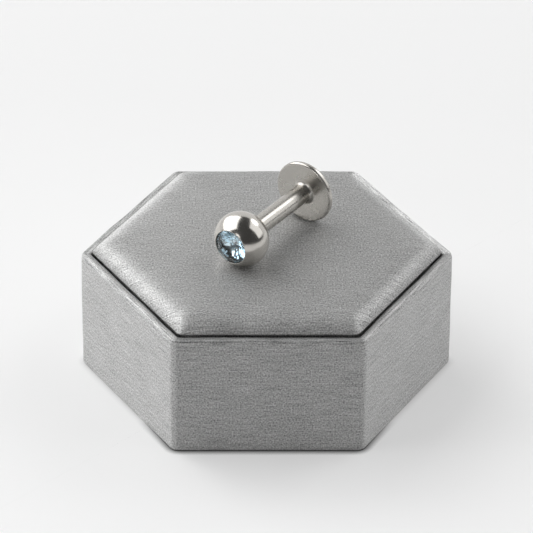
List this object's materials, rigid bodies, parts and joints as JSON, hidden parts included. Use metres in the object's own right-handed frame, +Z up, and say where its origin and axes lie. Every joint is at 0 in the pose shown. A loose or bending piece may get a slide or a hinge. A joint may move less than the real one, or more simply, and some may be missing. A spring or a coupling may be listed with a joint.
{
  "type": "labret stud on a hexagonal display block",
  "caption": "Labret stud with a flat disc back and a crystal-set ball, lying on a fabric-covered hexagonal display block with a padded top.",
  "frame": {"origin": "centre of the block's underside", "axes": "+Z up, +X along the block's longest width, from corner to corner, -Y out of the block's front face; the crystal faces the front left"},
  "size_m": [0.0308, 0.0268, 0.0174],
  "materials": {
    "block_fabric": "silver-grey satin cloth with a fine horizontal thread, wrapped round the block",
    "pad_fabric": "the same silver-grey satin cloth, stretched over padding",
    "polished_steel": "polished surgical steel, slightly warm, with the disc's face finely turned",
    "pale_blue_crystal": "foil-backed pale blue faceted crystal"
  },
  "bodies": {
    "root": {"block_body": "block_fabric", "top_pad": "pad_fabric", "post_and_disc": "polished_steel", "gem_ball": "polished_steel", "crystal": "pale_blue_crystal"}
  },
  "joints": []
}
